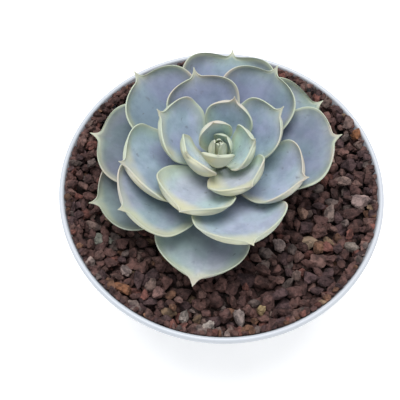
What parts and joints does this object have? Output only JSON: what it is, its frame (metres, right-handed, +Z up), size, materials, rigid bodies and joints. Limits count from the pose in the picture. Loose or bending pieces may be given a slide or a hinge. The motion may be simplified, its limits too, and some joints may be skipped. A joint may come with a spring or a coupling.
{
  "type": "potted echeveria",
  "caption": "Blue-grey echeveria rosette with pale pointed leaf edges, on a short stem in dark lava grit, in a round white tapered pot with a foot ring and drain holes.",
  "frame": {"origin": "centre of the pot's foot ring, on the surface that the pot stands on", "axes": "+Z up along the pot's axis; -Y towards the front, where the lowest leaf of the pictured side lies; +X to the right seen from the front"},
  "size_m": [0.12, 0.12, 0.1048],
  "materials": {
    "pot_white": "smooth, slightly glossy, cool white",
    "potting_soil": "matt, crumbly, fibrous soil of bark and peat",
    "lava_grit": "matt, porous, dark red-brown lava stones",
    "stem": "matt, ringed with old leaf scars",
    "leaf_green": "waxy, pale green",
    "leaf_blue": "waxy bloom, blue-lavender grey with a thin cream edge"
  },
  "bodies": {
    "root": {"pot": "pot_white", "potting_soil": "potting_soil", "lava_grit": "lava_grit", "stem": "stem", "heart": "leaf_green", "leaf_01": "leaf_blue", "leaf_02": "leaf_blue", "leaf_03": "leaf_blue", "leaf_04": "leaf_blue", "leaf_05": "leaf_blue", "leaf_06": "leaf_blue", "leaf_07": "leaf_blue", "leaf_08": "leaf_blue", "leaf_09": "leaf_blue", "leaf_10": "leaf_blue", "leaf_11": "leaf_blue", "leaf_12": "leaf_blue", "leaf_13": "leaf_blue", "leaf_14": "leaf_blue", "leaf_15": "leaf_blue", "leaf_16": "leaf_blue", "leaf_17": "leaf_blue", "leaf_18": "leaf_blue", "leaf_19": "leaf_blue", "leaf_20": "leaf_blue"}
  },
  "joints": []
}
